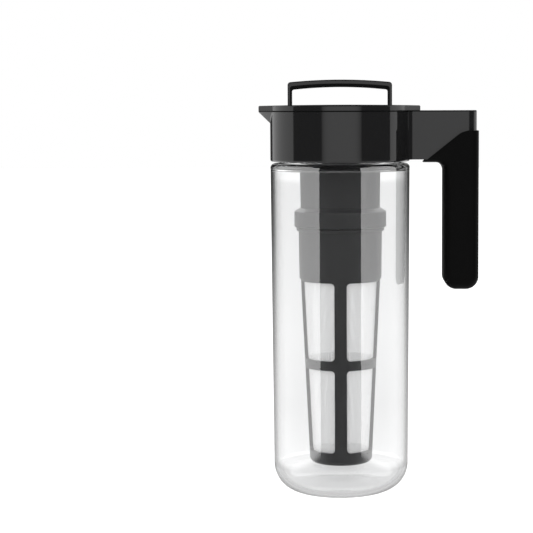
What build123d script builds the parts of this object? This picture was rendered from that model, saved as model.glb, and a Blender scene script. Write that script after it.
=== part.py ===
from build123d import *
import os
from math import cos, radians, sin, tan

# Cold brew coffee maker, in millimetres: a clear jug with a pouring collar and a side handle, a lid
# with a fold-down bail that squeezes its seal, and a brewing filter that hangs from the lid.
# The origin is on the jug's axis, in the plane that it stands on. +Z is up, the spout points to -X
# and the handle to +X.

os.makedirs("parts", exist_ok=True)

# Jug
jug_r = 45.1  # outside, at the shoulder
jug_draft = 1.4  # the foot is this much smaller in radius
jug_wall = 2.5
jug_floor = 3.0
foot_curve_r = 18.0
shoulder_z = 214.5
shoulder_curve_r = 3.0
shoulder_inner_r = 2.5
neck_setback = 6.0  # from the jug's outside to the neck's outside
neck_wall = 2.5
neck_h = 21.5
rim_curve_r = 0.8

# Bayonet lugs, the same on the neck, the lid and the filter
lug_count = 3
lug_angle = 38.0
lug_h = 3.0
lug_play = 0.2  # between two lugs that hold each other
lug_side_gap = 0.4  # from a lug's tip to the wall that it faces
neck_lug_reach = 2.6
neck_lug_lift = 7.5  # above the shoulder

# Collar, as wide as the jug, and the throat ring inside it
collar_wall = 2.4
collar_h = 31.8
collar_gap = 1.2  # open line above the shoulder
collar_edge_r = 1.2
web_t = 2.5  # flange of the throat ring, over the jug's rim
web_play = 0.05  # from the flange to the collar's wall
ledge_reach = 0.9  # the flange rests on this ledge of the collar
ledge_t = 1.5
throat_wall = 2.0
throat_drop = 12.0  # throat tube, below the flange
throat_gap = 0.5  # from the throat tube to the neck's bore
throat_edge_r = 1.2
neck_seal_t = 2.0

# Spout and the lid's lift tab, as trapezoids that leave the collar's circle
spout_reach = 7.4
spout_root_half_w = 13.6
spout_tip_half_w = 2.2
spout_keel_drop = 9.3  # depth of the keel at the spout's root
spout_tip_drop = 0.9
spout_wall = 1.9
mouth_half_w = 1.7
tab_reach = 6.6
tab_root_half_w = 18.6
tab_tip_half_w = 6.0

# Bracket that joins the collar to the handle
bracket_reach = 43.0
bracket_half_w = 12.0
bracket_wall = 2.4
bracket_end_r = 7.0
bracket_root_r = 6.0
bracket_lift = 1.2  # above the collar's lower edge
bracket_edge_r = 0.7
bracket_cavity_start = 2.0  # from the collar's outside
step_gap = 0.3  # from the lid's rim to the raised top of the bracket
step_setback = 1.9  # from the collar's outside to the full width of the raised top
step_neck_half_w = 8.0
arm_play = 0.1
arm_t = 3.0

# Handle core and screws
core_depth = 20.4
core_wall = 2.6
core_drop = 82.7  # below the bracket
core_rise = 26.0  # inside the bracket
core_inner_r = 5.0
core_low_r = 7.0
screw_shank_r = 1.1
screw_len = 12.0
screw_head_r = 2.2
screw_head_t = 1.5
drive_span = 2.6  # cross recess in a screw's head
drive_w = 0.4
drive_depth = 0.75
screw_half_spacing = 4.8
screw_setback = 3.2  # from the start of the bracket's cavity
boss_wall = 2.0
pilot_play = 0.05
head_play = 0.15

# Grip sleeve
sleeve_t = 1.1  # at the handle's inner and outer ends
sleeve_side_t = 2.2
lip_t = 1.8  # under the bracket
lip_start = 8.6  # from the collar's outside
grip_round_r = 5.0
grip_corner_r = 8.2
grip_elbow_r = 5.2
grip_top_drop = 12.2  # below the collar's top, at the handle's outer end
grip_slope = 38.5  # degrees, upper edge of the sleeve
grip_slope_r = 13.7

# Lid
lid_gap = 0.8  # shadow line between the collar and the lid
lid_t = 3.8
lid_crown = 0.6  # the plate's middle is this much higher than its edge
lid_edge_r = 0.8
rim_inset = 0.8
rim_w = 1.6
rim_break_half_w = 11.0
tray_h = 3.8
tray_floor = 1.2
tray_inset = 4.7
tray_wall = 3.0

# Plug, seal and push ring
pour_gap = 1.6  # from the relaxed seal to the throat
seal_w = 4.9
seal_h = 8.0
seal_groove = 0.9
seal_corner_r = 0.8
drum_play = 0.2
drum_wall = 2.3
drum_h = 19.0  # from the plug's underside to the tray
plug_floor = 2.5
boss_setback = 2.5
boss_t = 2.5
boss_drop = 13.5
ring_t = 2.5
post_w = 2.4
post_half_d = 2.0
post_gap = 0.5  # from a post to the low side of its cam
throat_post_gap = 1.1

# Bail
leg_w = 2.9
leg_depth = 5.0
leg_gap = 0.4
tongue_gap = 0.9  # from the folded bar to the tongue of the lid between the legs
bail_rise = 19.7  # from the pivot to the middle of the bar's top
bar_h = 4.8
bar_arc_drop = 1.7  # the bar's ends are this much lower than its middle
bail_outer_r = 2.0
bail_inner_r = 1.3
bail_edge_r = 1.1
cam_low_r = 3.0
cam_high_r = 5.0
pivot_lift = 0.2  # above the lid plate's underside
pin_r = 1.25
pin_len = 8.0
pin_seat_play = 0.02
pin_run_play = 0.05
slot_corner_r = 0.8
finger_half_w = 11.0
finger_depth = 7.0

# Filter tube
tube_setback = 1.1  # from the drum's outside to the tube's
tube_draft = 0.6
tube_wall = 2.0
tube_seal_t = 1.5
tube_seal_overhang = 0.6  # inside the tube's bore
tube_seal_inset = 0.3  # from the tube's outside
tube_h = 50.6
flare_h = 2.3
ring_step = 4.1  # the coupling ring stands this far out of the tube
coupling_h = 10.1
coupling_wall = 2.5
coupling_edge_r = 0.5
coupling_room = 8.9  # inside height of the coupling ring
coupling_lug_h = 2.5
coupling_gap = 0.5  # dark line under the ring

# Basket
basket_neck_wall = 2.0
basket_neck_gap = 1.9  # from the neck to the inside of the coupling ring
basket_seal_t = 1.2
flange_inset = 1.3
flange_t = 2.1
flange_edge_r = 0.6
cup_inset = 1.4  # from the flange's edge to the cup
cup_h = 30.8
cup_draft = 0.4
cup_step = 0.8  # from the cup down to the window frame
frame_band = 1.5
frame_wall = 2.0
cup_haunch = 4.0  # sloped inside, under the flange
step_haunch = 0.5  # sloped inside, above the windows
frame_taper = 5.6
rib_w = 7.75
rib_count = 4
mid_band_h = 6.1
mid_band_share = 0.517  # middle of the band, up from the bottom of the windows
cap_h = 8.4
cap_curve_r = 3.5
floor_gap = 16.0  # from the jug's floor to the filter
window_corner_r = 2.6
mesh_t = 0.35
mesh_lap = 1.0

# Worked out from the sizes above
foot_r = jug_r - jug_draft
neck_r = jug_r - neck_setback
bore_r = neck_r - neck_wall
rim_z = shoulder_z + neck_h
neck_lug_z = shoulder_z + neck_lug_lift
collar_r = jug_r
collar_in_r = collar_r - collar_wall
collar_low_z = shoulder_z + collar_gap
collar_top_z = collar_low_z + collar_h
web_low_z = rim_z + neck_seal_t
web_top_z = web_low_z + web_t
throat_out_r = bore_r - throat_gap
throat_r = throat_out_r - throat_wall
throat_low_z = web_low_z - throat_drop

lid_low_z = collar_top_z + lid_gap
tray_low_z = lid_low_z - tray_h
tray_floor_z = tray_low_z + tray_floor
tray_r = collar_in_r - tray_inset

bracket_low_z = collar_low_z + bracket_lift
bracket_end_x = collar_r + bracket_reach
bracket_top_z = lid_low_z
tab_end_x = collar_r + tab_reach
rim_r = collar_r - rim_inset
cavity_start_x = collar_r + bracket_cavity_start
cavity_end_x = bracket_end_x - bracket_wall
cavity_half_w = bracket_half_w - bracket_wall
cavity_top_z = collar_top_z - bracket_wall
core_in_x = bracket_end_x - core_depth
core_low_z = bracket_low_z - core_drop
screw_x = cavity_start_x + screw_setback
grip_low_z = core_low_z - sleeve_t
grip_in_x = core_in_x - sleeve_t
grip_end_x = bracket_end_x + sleeve_t
lip_low_z = bracket_low_z - lip_t
lip_start_x = collar_r + lip_start
grip_top_z = collar_top_z - grip_top_drop

pivot_z = lid_low_z + pivot_lift
leg_out_x = throat_r - leg_gap
leg_in_x = leg_out_x - leg_w
bail_top_z = pivot_z + bail_rise
post_out_x = throat_r - throat_post_gap
post_in_x = post_out_x - post_w
post_top_z = pivot_z - cam_low_r - post_gap
seal_r = throat_r - pour_gap
seal_in_r = seal_r - seal_w
drum_r = seal_in_r - drum_play
plug_low_z = tray_low_z - drum_h
seal_low_z = plug_low_z + plug_floor
ring_low_z = seal_low_z + seal_h
boss_r = drum_r - drum_wall - boss_setback
boss_low_z = plug_low_z - boss_drop

tube_r = drum_r - tube_setback
tube_top_z = plug_low_z - tube_seal_t
tube_low_z = tube_top_z - tube_h
ring_top_z = tube_low_z + coupling_h
coupling_r = tube_r - tube_draft + ring_step
coupling_in_r = coupling_r - coupling_wall
coupling_ceiling_z = tube_low_z + coupling_room

basket_neck_r = coupling_in_r - basket_neck_gap
basket_neck_top_z = coupling_ceiling_z - basket_seal_t
flange_top_z = tube_low_z - coupling_gap
flange_low_z = flange_top_z - flange_t
flange_r = coupling_r - flange_inset
cup_r = flange_r - cup_inset
cup_low_z = flange_low_z - cup_h
window_top_z = cup_low_z - frame_band
frame_top_r = cup_r - cup_draft - cup_step
basket_low_z = jug_floor + floor_gap
frame_low_r = frame_top_r - frame_taper
window_low_z = basket_low_z + cap_h
mid_band_z = window_low_z + (window_top_z - window_low_z) * mid_band_share


def round_corners(sketch, corners):
    """Round a sketch's corners, each given as its two coordinates and a radius."""
    for across, up, radius in corners:
        fillet(sketch.vertices().sort_by_distance((across, up))[0], radius=radius)


def lug_sketch(low_z, inner_r, outer_r):
    """Three lugs between two circles, spread evenly round the axis."""
    middle_r = (inner_r + outer_r) / 2
    chord = 2 * middle_r * sin(radians(lug_angle / 2))
    sagitta = outer_r * (1 - cos(radians(lug_angle / 2)))
    with BuildSketch(Plane.XY.offset(low_z)) as lugs:
        with PolarLocations(middle_r - sagitta / 2, lug_count):
            Rectangle(2 * (outer_r - inner_r) + 2 * sagitta, chord)
        Circle(outer_r, mode=Mode.INTERSECT)
        Circle(inner_r, mode=Mode.SUBTRACT)
    return lugs.sketch


def ring_sketch(inner_r, outer_r, low_z, high_z):
    """A ring's square section, to the right of the axis."""
    with BuildSketch(Plane.XZ) as section:
        with Locations(((inner_r + outer_r) / 2, (low_z + high_z) / 2)):
            Rectangle(outer_r - inner_r, high_z - low_z)
    return section.sketch


def core_sketch(low_z):
    """Plan of the handle's core, with its outer corners as round as the bracket's."""
    with BuildSketch(Plane.XY.offset(low_z)) as plan:
        with Locations((core_in_x + core_depth / 2, 0)):
            Rectangle(core_depth, 2 * bracket_half_w)
        outer = plan.vertices().group_by(Axis.X)[-1]
        fillet(outer, radius=bracket_end_r)
        inner = plan.vertices().group_by(Axis.X)[0]
        fillet(inner, radius=core_inner_r)
    return plan.sketch


def bracket_sketch(low_z):
    """Plan of the collar and its bracket, with hollow corners where they meet."""
    root_x = (collar_r**2 - bracket_half_w**2) ** 0.5
    with BuildSketch(Plane.XY.offset(low_z)) as plan:
        Circle(collar_r)
        with Locations((bracket_end_x / 2, 0)):
            Rectangle(bracket_end_x, 2 * bracket_half_w)
        for side in (1, -1):
            round_corners(
                plan,
                [
                    (root_x, side * bracket_half_w, bracket_root_r),
                    (bracket_end_x, side * bracket_half_w, bracket_end_r),
                ],
            )
    return plan.sketch


def trapezoid_sketch(low_z, root_half_w, tip_half_w, tip_x):
    """Plan of a tapered lip that leaves the collar's circle and ends at tip_x."""
    side = 1 if tip_x > 0 else -1
    root_x = side * (collar_r**2 - root_half_w**2) ** 0.5
    with BuildSketch(Plane.XY.offset(low_z)) as plan:
        with BuildLine():
            Polyline(
                (0, root_half_w),
                (root_x, root_half_w),
                (tip_x, tip_half_w),
                (tip_x, -tip_half_w),
                (root_x, -root_half_w),
                (0, -root_half_w),
                close=True,
            )
        make_face()
    return plan.sketch


# Jug: one blow-moulded shell with a foot curve, a shoulder and a neck that carries three lugs
with BuildPart() as jug_body:
    with BuildSketch(Plane.XZ) as jug_section:
        shoulder_under_z = shoulder_z - jug_wall
        with BuildLine():
            Polyline(
                (0, 0),
                (foot_r, 0),
                (jug_r, shoulder_z),
                (neck_r, shoulder_z),
                (neck_r, rim_z),
                (bore_r, rim_z),
                (bore_r, shoulder_under_z),
                (jug_r - jug_wall, shoulder_under_z),
                (foot_r - jug_wall, jug_floor),
                (0, jug_floor),
                close=True,
            )
        make_face()
        round_corners(
            jug_section,
            [
                (foot_r, 0, foot_curve_r),
                (foot_r - jug_wall, jug_floor, foot_curve_r - jug_wall),
                (jug_r, shoulder_z, shoulder_curve_r),
                (jug_r - jug_wall, shoulder_under_z, shoulder_inner_r),
                (neck_r, shoulder_z, rim_curve_r),
                (neck_r, rim_z, rim_curve_r),
                (bore_r, rim_z, rim_curve_r),
                (bore_r, shoulder_under_z, rim_curve_r),
            ],
        )
    revolve(axis=Axis.Z)
    extrude(lug_sketch(neck_lug_z, neck_r - neck_wall / 2, neck_r + neck_lug_reach), amount=lug_h)
jug_body.part.label = "jug_body"
export_step(jug_body.part, "parts/jug_body.step")

# Neck seal: flat ring between the jug's rim and the throat ring's flange
with BuildPart() as neck_seal:
    revolve(ring_sketch(bore_r, neck_r, rim_z, web_low_z), axis=Axis.Z)
neck_seal.part.label = "neck_seal"
export_step(neck_seal.part, "parts/neck_seal.step")

# Collar: round housing with the spout and the handle's bracket in one moulding
with BuildPart() as collar:
    with BuildSketch(Plane.XZ) as collar_section:
        with Locations((collar_r / 2, (collar_low_z + collar_top_z) / 2)):
            Rectangle(collar_r, collar_h)
        round_corners(collar_section, [(collar_r, collar_low_z, collar_edge_r)])
    revolve(axis=Axis.Z)
    extrude(bracket_sketch(bracket_low_z), amount=collar_top_z - bracket_low_z)
    with BuildSketch(Plane.XY.offset(collar_top_z)) as bracket_step:
        step_x = collar_r + step_setback
        with Locations(((step_x + bracket_end_x) / 2, 0)):
            Rectangle(bracket_end_x - step_x, 2 * bracket_half_w)
        with Locations((step_x / 2, 0)):
            Rectangle(step_x, 2 * step_neck_half_w)
        fillet(bracket_step.vertices().group_by(Axis.X)[-1], radius=bracket_end_r)
        Circle(rim_r + step_gap, mode=Mode.SUBTRACT)
    extrude(amount=bracket_top_z - collar_top_z)
    top_edges = [
        edge
        for edge in collar.faces().sort_by(Axis.Z)[-1].edges()
        if edge.center().X > step_x + bracket_edge_r
    ]
    fillet(top_edges, radius=min(bracket_edge_r, 0.9 * lid_gap))

    # Spout: a keeled wedge from the collar's wall to its tip
    spout_root_x = -((collar_r**2 - spout_root_half_w**2) ** 0.5)
    spout_tip_x = -(collar_r + spout_reach)
    with BuildSketch(Plane.YZ.offset(spout_root_x)) as spout_root:
        with BuildLine():
            Polyline(
                (-spout_root_half_w, lid_low_z),
                (spout_root_half_w, lid_low_z),
                (0, collar_top_z - spout_keel_drop),
                close=True,
            )
        make_face()
    with BuildSketch(Plane.YZ.offset(spout_tip_x)) as spout_tip:
        with BuildLine():
            Polyline(
                (-spout_tip_half_w, lid_low_z),
                (spout_tip_half_w, lid_low_z),
                (0, lid_low_z - spout_tip_drop),
                close=True,
            )
        make_face()
    loft(ruled=True)

    # Room inside for the neck and the throat ring, which rests on a ledge
    with BuildSketch(Plane.XY.offset(collar_low_z)) as room:
        Circle(collar_in_r)
    extrude(amount=lid_low_z - collar_low_z, mode=Mode.SUBTRACT)
    ledge_out_r = collar_in_r + collar_wall / 2
    revolve(
        ring_sketch(collar_in_r - ledge_reach, ledge_out_r, web_low_z - ledge_t, web_low_z),
        axis=Axis.Z,
    )

    # Trough of the spout, open at the tip
    trough_root_x = -(collar_in_r - collar_wall)
    with BuildSketch(Plane.YZ.offset(trough_root_x)) as trough_root:
        with BuildLine():
            Polyline(
                (-spout_root_half_w + spout_wall, lid_low_z),
                (spout_root_half_w - spout_wall, lid_low_z),
                (0, web_top_z),
                close=True,
            )
        make_face()
    with BuildSketch(Plane.YZ.offset(spout_tip_x)) as trough_tip:
        with BuildLine():
            Polyline(
                (-mouth_half_w, lid_low_z),
                (mouth_half_w, lid_low_z),
                (0, lid_low_z - spout_tip_drop / 2),
                close=True,
            )
        make_face()
    loft(ruled=True, mode=Mode.SUBTRACT)

    # Cavity of the bracket, open underneath, with two screw bosses
    with BuildSketch(Plane.XY.offset(bracket_low_z)) as cavity:
        with Locations(((cavity_start_x + cavity_end_x) / 2, 0)):
            Rectangle(cavity_end_x - cavity_start_x, 2 * cavity_half_w)
        fillet(cavity.vertices().group_by(Axis.X)[-1], radius=bracket_end_r - bracket_wall)
    extrude(amount=cavity_top_z - bracket_low_z, mode=Mode.SUBTRACT)
    boss_z = bracket_low_z + arm_t + arm_play
    with BuildSketch(Plane.XY.offset(boss_z)) as bosses:
        with Locations((screw_x, screw_half_spacing), (screw_x, -screw_half_spacing)):
            Circle(screw_shank_r + boss_wall)
    extrude(amount=cavity_top_z - boss_z)
    with BuildSketch(Plane.XY.offset(boss_z)) as pilots:
        with Locations((screw_x, screw_half_spacing), (screw_x, -screw_half_spacing)):
            Circle(screw_shank_r + pilot_play)
    extrude(amount=screw_len, mode=Mode.SUBTRACT)

    # Lugs that grip under the lugs of the neck
    collar_lug_z = neck_lug_z - lug_play - lug_h
    extrude(
        lug_sketch(collar_lug_z, neck_r + lug_side_gap, collar_in_r + collar_wall / 2), amount=lug_h
    )
collar.part.label = "collar"
export_step(collar.part, "parts/collar.step")

# Throat ring: flange over the jug's rim with the tube that the lid's seal closes
with BuildPart() as throat_ring:
    with BuildSketch(Plane.XZ) as throat_section:
        flange_out_r = collar_in_r - web_play
        with BuildLine():
            Polyline(
                (throat_r, throat_low_z),
                (throat_out_r, throat_low_z),
                (throat_out_r, web_low_z),
                (flange_out_r, web_low_z),
                (flange_out_r, web_top_z),
                (throat_r, web_top_z),
                close=True,
            )
        make_face()
        round_corners(throat_section, [(throat_r, web_top_z, throat_edge_r)])
    revolve(axis=Axis.Z)
throat_ring.part.label = "throat_ring"
export_step(throat_ring.part, "parts/throat_ring.step")

# Outer shape of the handle's core below the bracket, which the sleeve fits
with BuildPart() as core_bar:
    extrude(core_sketch(core_low_z), amount=bracket_low_z - core_low_z)
    fillet(core_bar.faces().sort_by(Axis.Z)[0].edges(), radius=core_low_r)

# Handle core: hollow bar below the bracket, a block that fills the bracket's end, and an arm plate
with BuildPart() as handle_core:
    add(core_bar.part)
    with BuildSketch(Plane.XY.offset(bracket_low_z)) as block:
        block_end_x = cavity_end_x - arm_play
        with Locations(((core_in_x + block_end_x) / 2, 0)):
            Rectangle(block_end_x - core_in_x, 2 * (cavity_half_w - arm_play))
        fillet(
            block.vertices().group_by(Axis.X)[-1],
            radius=bracket_end_r - bracket_wall - arm_play,
        )
    extrude(amount=core_rise)
    with BuildSketch(Plane.XY.offset(bracket_low_z)) as arm:
        arm_start_x = cavity_start_x + arm_play
        arm_end_x = core_in_x + core_wall
        with Locations(((arm_start_x + arm_end_x) / 2, 0)):
            Rectangle(arm_end_x - arm_start_x, 2 * (cavity_half_w - arm_play))
    extrude(amount=arm_t)
    with BuildSketch(Plane.XY.offset(core_low_z + core_wall)) as core_hollow:
        hollow_start_x = core_in_x + core_wall
        hollow_end_x = block_end_x - core_wall
        with Locations(((hollow_start_x + hollow_end_x) / 2, 0)):
            Rectangle(hollow_end_x - hollow_start_x, 2 * (cavity_half_w - core_wall))
    extrude(amount=bracket_low_z + core_rise - core_low_z, mode=Mode.SUBTRACT)
    with Locations(
        (screw_x, screw_half_spacing, bracket_low_z),
        (screw_x, -screw_half_spacing, bracket_low_z),
    ):
        Cylinder(
            screw_shank_r + pilot_play,
            2 * arm_t,
            align=(Align.CENTER, Align.CENTER, Align.CENTER),
            mode=Mode.SUBTRACT,
        )
        Cylinder(
            screw_head_r + head_play,
            2 * screw_head_t,
            align=(Align.CENTER, Align.CENTER, Align.CENTER),
            mode=Mode.SUBTRACT,
        )
handle_core.part.label = "handle_core"
export_step(handle_core.part, "parts/handle_core.step")

# Handle screws: two pan-head screws driven up through the arm plate into the bracket's bosses
with BuildPart() as handle_screws:
    for side in (1, -1):
        with BuildSketch(Plane.XY.offset(bracket_low_z)) as head:
            with Locations((screw_x, side * screw_half_spacing)):
                Circle(screw_head_r)
        extrude(amount=screw_head_t)
        with BuildSketch(Plane.XY.offset(bracket_low_z)) as shank:
            with Locations((screw_x, side * screw_half_spacing)):
                Circle(screw_shank_r)
        extrude(amount=screw_len)
        with BuildSketch(Plane.XY.offset(bracket_low_z)) as drive:
            with Locations((screw_x, side * screw_half_spacing)):
                Rectangle(drive_span, drive_w)
                Rectangle(drive_w, drive_span)
        extrude(amount=drive_depth, mode=Mode.SUBTRACT)
handle_screws.part.label = "handle_screws"
export_step(handle_screws.part, "parts/handle_screws.step")

# Grip sleeve: soft sock over the handle's core, which wraps the lower corner of the bracket
with BuildPart() as grip_sleeve:
    blank_start_x = lip_start_x - 2 * grip_round_r
    blank_top_z = grip_top_z + grip_round_r
    grip_half_w = bracket_half_w + sleeve_side_t
    with BuildSketch(Plane.XZ) as grip_side:
        with BuildLine():
            Polyline(
                (blank_start_x, lip_low_z),
                (grip_in_x, lip_low_z),
                (grip_in_x, grip_low_z),
                (grip_end_x, grip_low_z),
                (grip_end_x, blank_top_z),
                (blank_start_x, blank_top_z),
                close=True,
            )
        make_face()
        round_corners(
            grip_side,
            [
                (grip_in_x, lip_low_z, grip_elbow_r),
                (grip_in_x, grip_low_z, grip_corner_r),
                (grip_end_x, grip_low_z, grip_corner_r),
            ],
        )
    extrude(amount=grip_half_w, both=True)
    side_faces = [grip_sleeve.faces().sort_by(Axis.Y)[0], grip_sleeve.faces().sort_by(Axis.Y)[-1]]
    soft_edges = [
        edge
        for face in side_faces
        for edge in face.edges()
        if edge.center().Z < blank_top_z - 1 and edge.center().X > blank_start_x + 1
    ]
    fillet(soft_edges, radius=grip_round_r)
    extrude(bracket_sketch(bracket_low_z), amount=bracket_top_z - bracket_low_z, mode=Mode.SUBTRACT)
    add(core_bar.part, mode=Mode.SUBTRACT)
    with BuildSketch(Plane.XZ) as above_edge:
        bend_x = lip_start_x + (grip_top_z - lip_low_z) / tan(radians(grip_slope))
        run_x = bend_x - lip_start_x + grip_round_r * 4
        with BuildLine():
            Polyline(
                (bend_x - run_x, grip_top_z - run_x * tan(radians(grip_slope))),
                (bend_x, grip_top_z),
                (grip_end_x + sleeve_t, grip_top_z),
                (grip_end_x + sleeve_t, blank_top_z + sleeve_t),
                (bend_x - run_x, blank_top_z + sleeve_t),
                close=True,
            )
        make_face()
        round_corners(above_edge, [(bend_x, grip_top_z, grip_slope_r)])
    extrude(amount=2 * grip_half_w, both=True, mode=Mode.SUBTRACT)
grip_sleeve.part.label = "grip_sleeve"
export_step(grip_sleeve.part, "parts/grip_sleeve.step")

# Lid cover: plate with the outline of the collar, spout and tab, and a slot that takes the bail
slot_out_x = leg_out_x + leg_gap
slot_in_x = leg_in_x - leg_gap
slot_back_y = cam_low_r + leg_gap
slot_front_y = -(bail_rise + leg_gap)
tongue_y = -(bail_rise - bar_h - bar_arc_drop - tongue_gap)


def bail_slot_sketch(low_z):
    """U-shaped plan of the room that the folded bail lies in, with a place for a finger."""
    with BuildSketch(Plane.XY.offset(low_z)) as slot:
        with Locations((0, (slot_back_y + slot_front_y) / 2)):
            Rectangle(2 * slot_out_x, slot_back_y - slot_front_y)
        with Locations((0, (slot_back_y + tongue_y) / 2)):
            Rectangle(2 * slot_in_x, slot_back_y - tongue_y, mode=Mode.SUBTRACT)
        with Locations((0, tongue_y)):
            SlotOverall(2 * finger_half_w, 2 * finger_depth)
        for side in (1, -1):
            round_corners(
                slot,
                [
                    (side * slot_out_x, slot_front_y, bail_outer_r),
                    (side * slot_out_x, slot_back_y, slot_corner_r),
                ],
            )
    return slot.sketch


with BuildPart() as lid_cover:
    with BuildSketch(Plane.XY.offset(lid_low_z)) as plate_plan:
        Circle(collar_r)
        add(trapezoid_sketch(0, spout_root_half_w, spout_tip_half_w, spout_tip_x))
        add(trapezoid_sketch(0, tab_root_half_w, tab_tip_half_w, tab_end_x))
    extrude(amount=lid_t)
    crown_span = collar_r + spout_reach
    crown_r = (crown_span**2 + lid_crown**2) / (2 * lid_crown)
    with Locations((0, 0, lid_low_z + lid_t - crown_r)):
        Sphere(crown_r, rotation=(90, 0, 0), mode=Mode.INTERSECT)
    fillet(lid_cover.faces().sort_by(Axis.Z)[-1].edges(), radius=lid_edge_r)
    revolve(ring_sketch(rim_r - rim_w, rim_r, collar_top_z, lid_low_z), axis=Axis.Z)
    with BuildSketch(Plane.XY.offset(collar_top_z)) as rim_break:
        with Locations((-collar_r, 0)):
            Rectangle(collar_r, 2 * rim_break_half_w)
    extrude(amount=lid_gap, mode=Mode.SUBTRACT)
    extrude(bail_slot_sketch(lid_low_z), amount=lid_t, mode=Mode.SUBTRACT)
    for side in (1, -1):
        pin_middle_x = side * (leg_in_x + leg_w / 2)
        with BuildSketch(Plane.YZ.offset(pin_middle_x)) as pin_seat:
            with Locations((0, pivot_z)):
                Circle(pin_r + pin_seat_play)
        extrude(amount=pin_len / 2 + pin_seat_play, both=True, mode=Mode.SUBTRACT)
lid_cover.part.label = "lid_cover"
export_step(lid_cover.part, "parts/lid_cover.step")

# Lid tray: disc under the cover, with the floor of the bail's slot and holes for the cams and posts
with BuildPart() as lid_tray:
    with BuildSketch(Plane.XY.offset(tray_low_z)) as tray_plan:
        Circle(tray_r)
    extrude(amount=tray_h)
    extrude(bail_slot_sketch(tray_floor_z), amount=tray_h - tray_floor, mode=Mode.SUBTRACT)
    with BuildSketch(Plane.XY.offset(tray_floor_z)) as tray_pocket:
        Circle(tray_r - tray_wall)
        with Locations((0, slot_back_y + tray_wall - tray_r)):
            Rectangle(2 * tray_r, 2 * tray_r, mode=Mode.SUBTRACT)
    extrude(amount=tray_h - tray_floor, mode=Mode.SUBTRACT)
    for side in (1, -1):
        with BuildSketch(Plane.XY.offset(tray_low_z)) as cam_hole:
            hole_front_y = -(cam_high_r + leg_gap)
            with Locations((side * (slot_in_x + slot_out_x) / 2, (hole_front_y + slot_back_y) / 2)):
                Rectangle(slot_out_x - slot_in_x, slot_back_y - hole_front_y)
        extrude(amount=tray_floor, mode=Mode.SUBTRACT)
        with BuildSketch(Plane.YZ.offset(side * (leg_in_x + leg_w / 2))) as pin_seat:
            with Locations((0, pivot_z)):
                Circle(pin_r + pin_seat_play)
        extrude(amount=pin_len / 2 + pin_seat_play, both=True, mode=Mode.SUBTRACT)
lid_tray.part.label = "lid_tray"
export_step(lid_tray.part, "parts/lid_tray.step")

# Lid plug: drum that carries the seal, a floor that closes it, and a boss for the filter tube
with BuildPart() as lid_plug:
    with BuildSketch(Plane.XZ) as plug_section:
        with BuildLine():
            Polyline(
                (0, plug_low_z),
                (boss_r - boss_t, plug_low_z),
                (boss_r - boss_t, boss_low_z),
                (boss_r, boss_low_z),
                (boss_r, plug_low_z),
                (seal_r - drum_play, plug_low_z),
                (seal_r - drum_play, seal_low_z),
                (drum_r, seal_low_z),
                (drum_r, tray_low_z),
                (drum_r - drum_wall, tray_low_z),
                (drum_r - drum_wall, seal_low_z),
                (0, seal_low_z),
                close=True,
            )
        make_face()
        round_corners(plug_section, [(seal_r - drum_play, plug_low_z, seal_corner_r)])
    revolve(axis=Axis.Z)
    tube_in_r = tube_r - tube_wall
    extrude(lug_sketch(boss_low_z, boss_r - boss_t / 2, tube_in_r - lug_side_gap), amount=lug_h)
lid_plug.part.label = "lid_plug"
export_step(lid_plug.part, "parts/lid_plug.step")

# Lid seal: soft ring round the drum, waisted so that it bulges outward when it is squeezed
with BuildPart() as lid_seal:
    with BuildSketch(Plane.XZ) as seal_section:
        with Locations(((seal_in_r + seal_r) / 2, seal_low_z + seal_h / 2)):
            Rectangle(seal_w, seal_h)
        round_corners(
            seal_section,
            [
                (seal_r, seal_low_z, seal_corner_r),
                (seal_r, ring_low_z, seal_corner_r),
            ],
        )
        with Locations((seal_r + seal_groove, seal_low_z + seal_h / 2)):
            Circle(2 * seal_groove, mode=Mode.SUBTRACT)
    revolve(axis=Axis.Z)
lid_seal.part.label = "lid_seal"
export_step(lid_seal.part, "parts/lid_seal.step")

# Push ring: ring on top of the seal, with two posts that the bail's cams press
with BuildPart() as push_ring:
    revolve(ring_sketch(seal_in_r, seal_r, ring_low_z, ring_low_z + ring_t), axis=Axis.Z)
    with BuildSketch(Plane.XY.offset(ring_low_z)) as posts:
        for side in (1, -1):
            with Locations((side * (post_in_x + post_out_x) / 2, 0)):
                Rectangle(post_w, 2 * post_half_d)
    extrude(amount=post_top_z - ring_low_z)
push_ring.part.label = "push_ring"
export_step(push_ring.part, "parts/push_ring.step")

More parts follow.
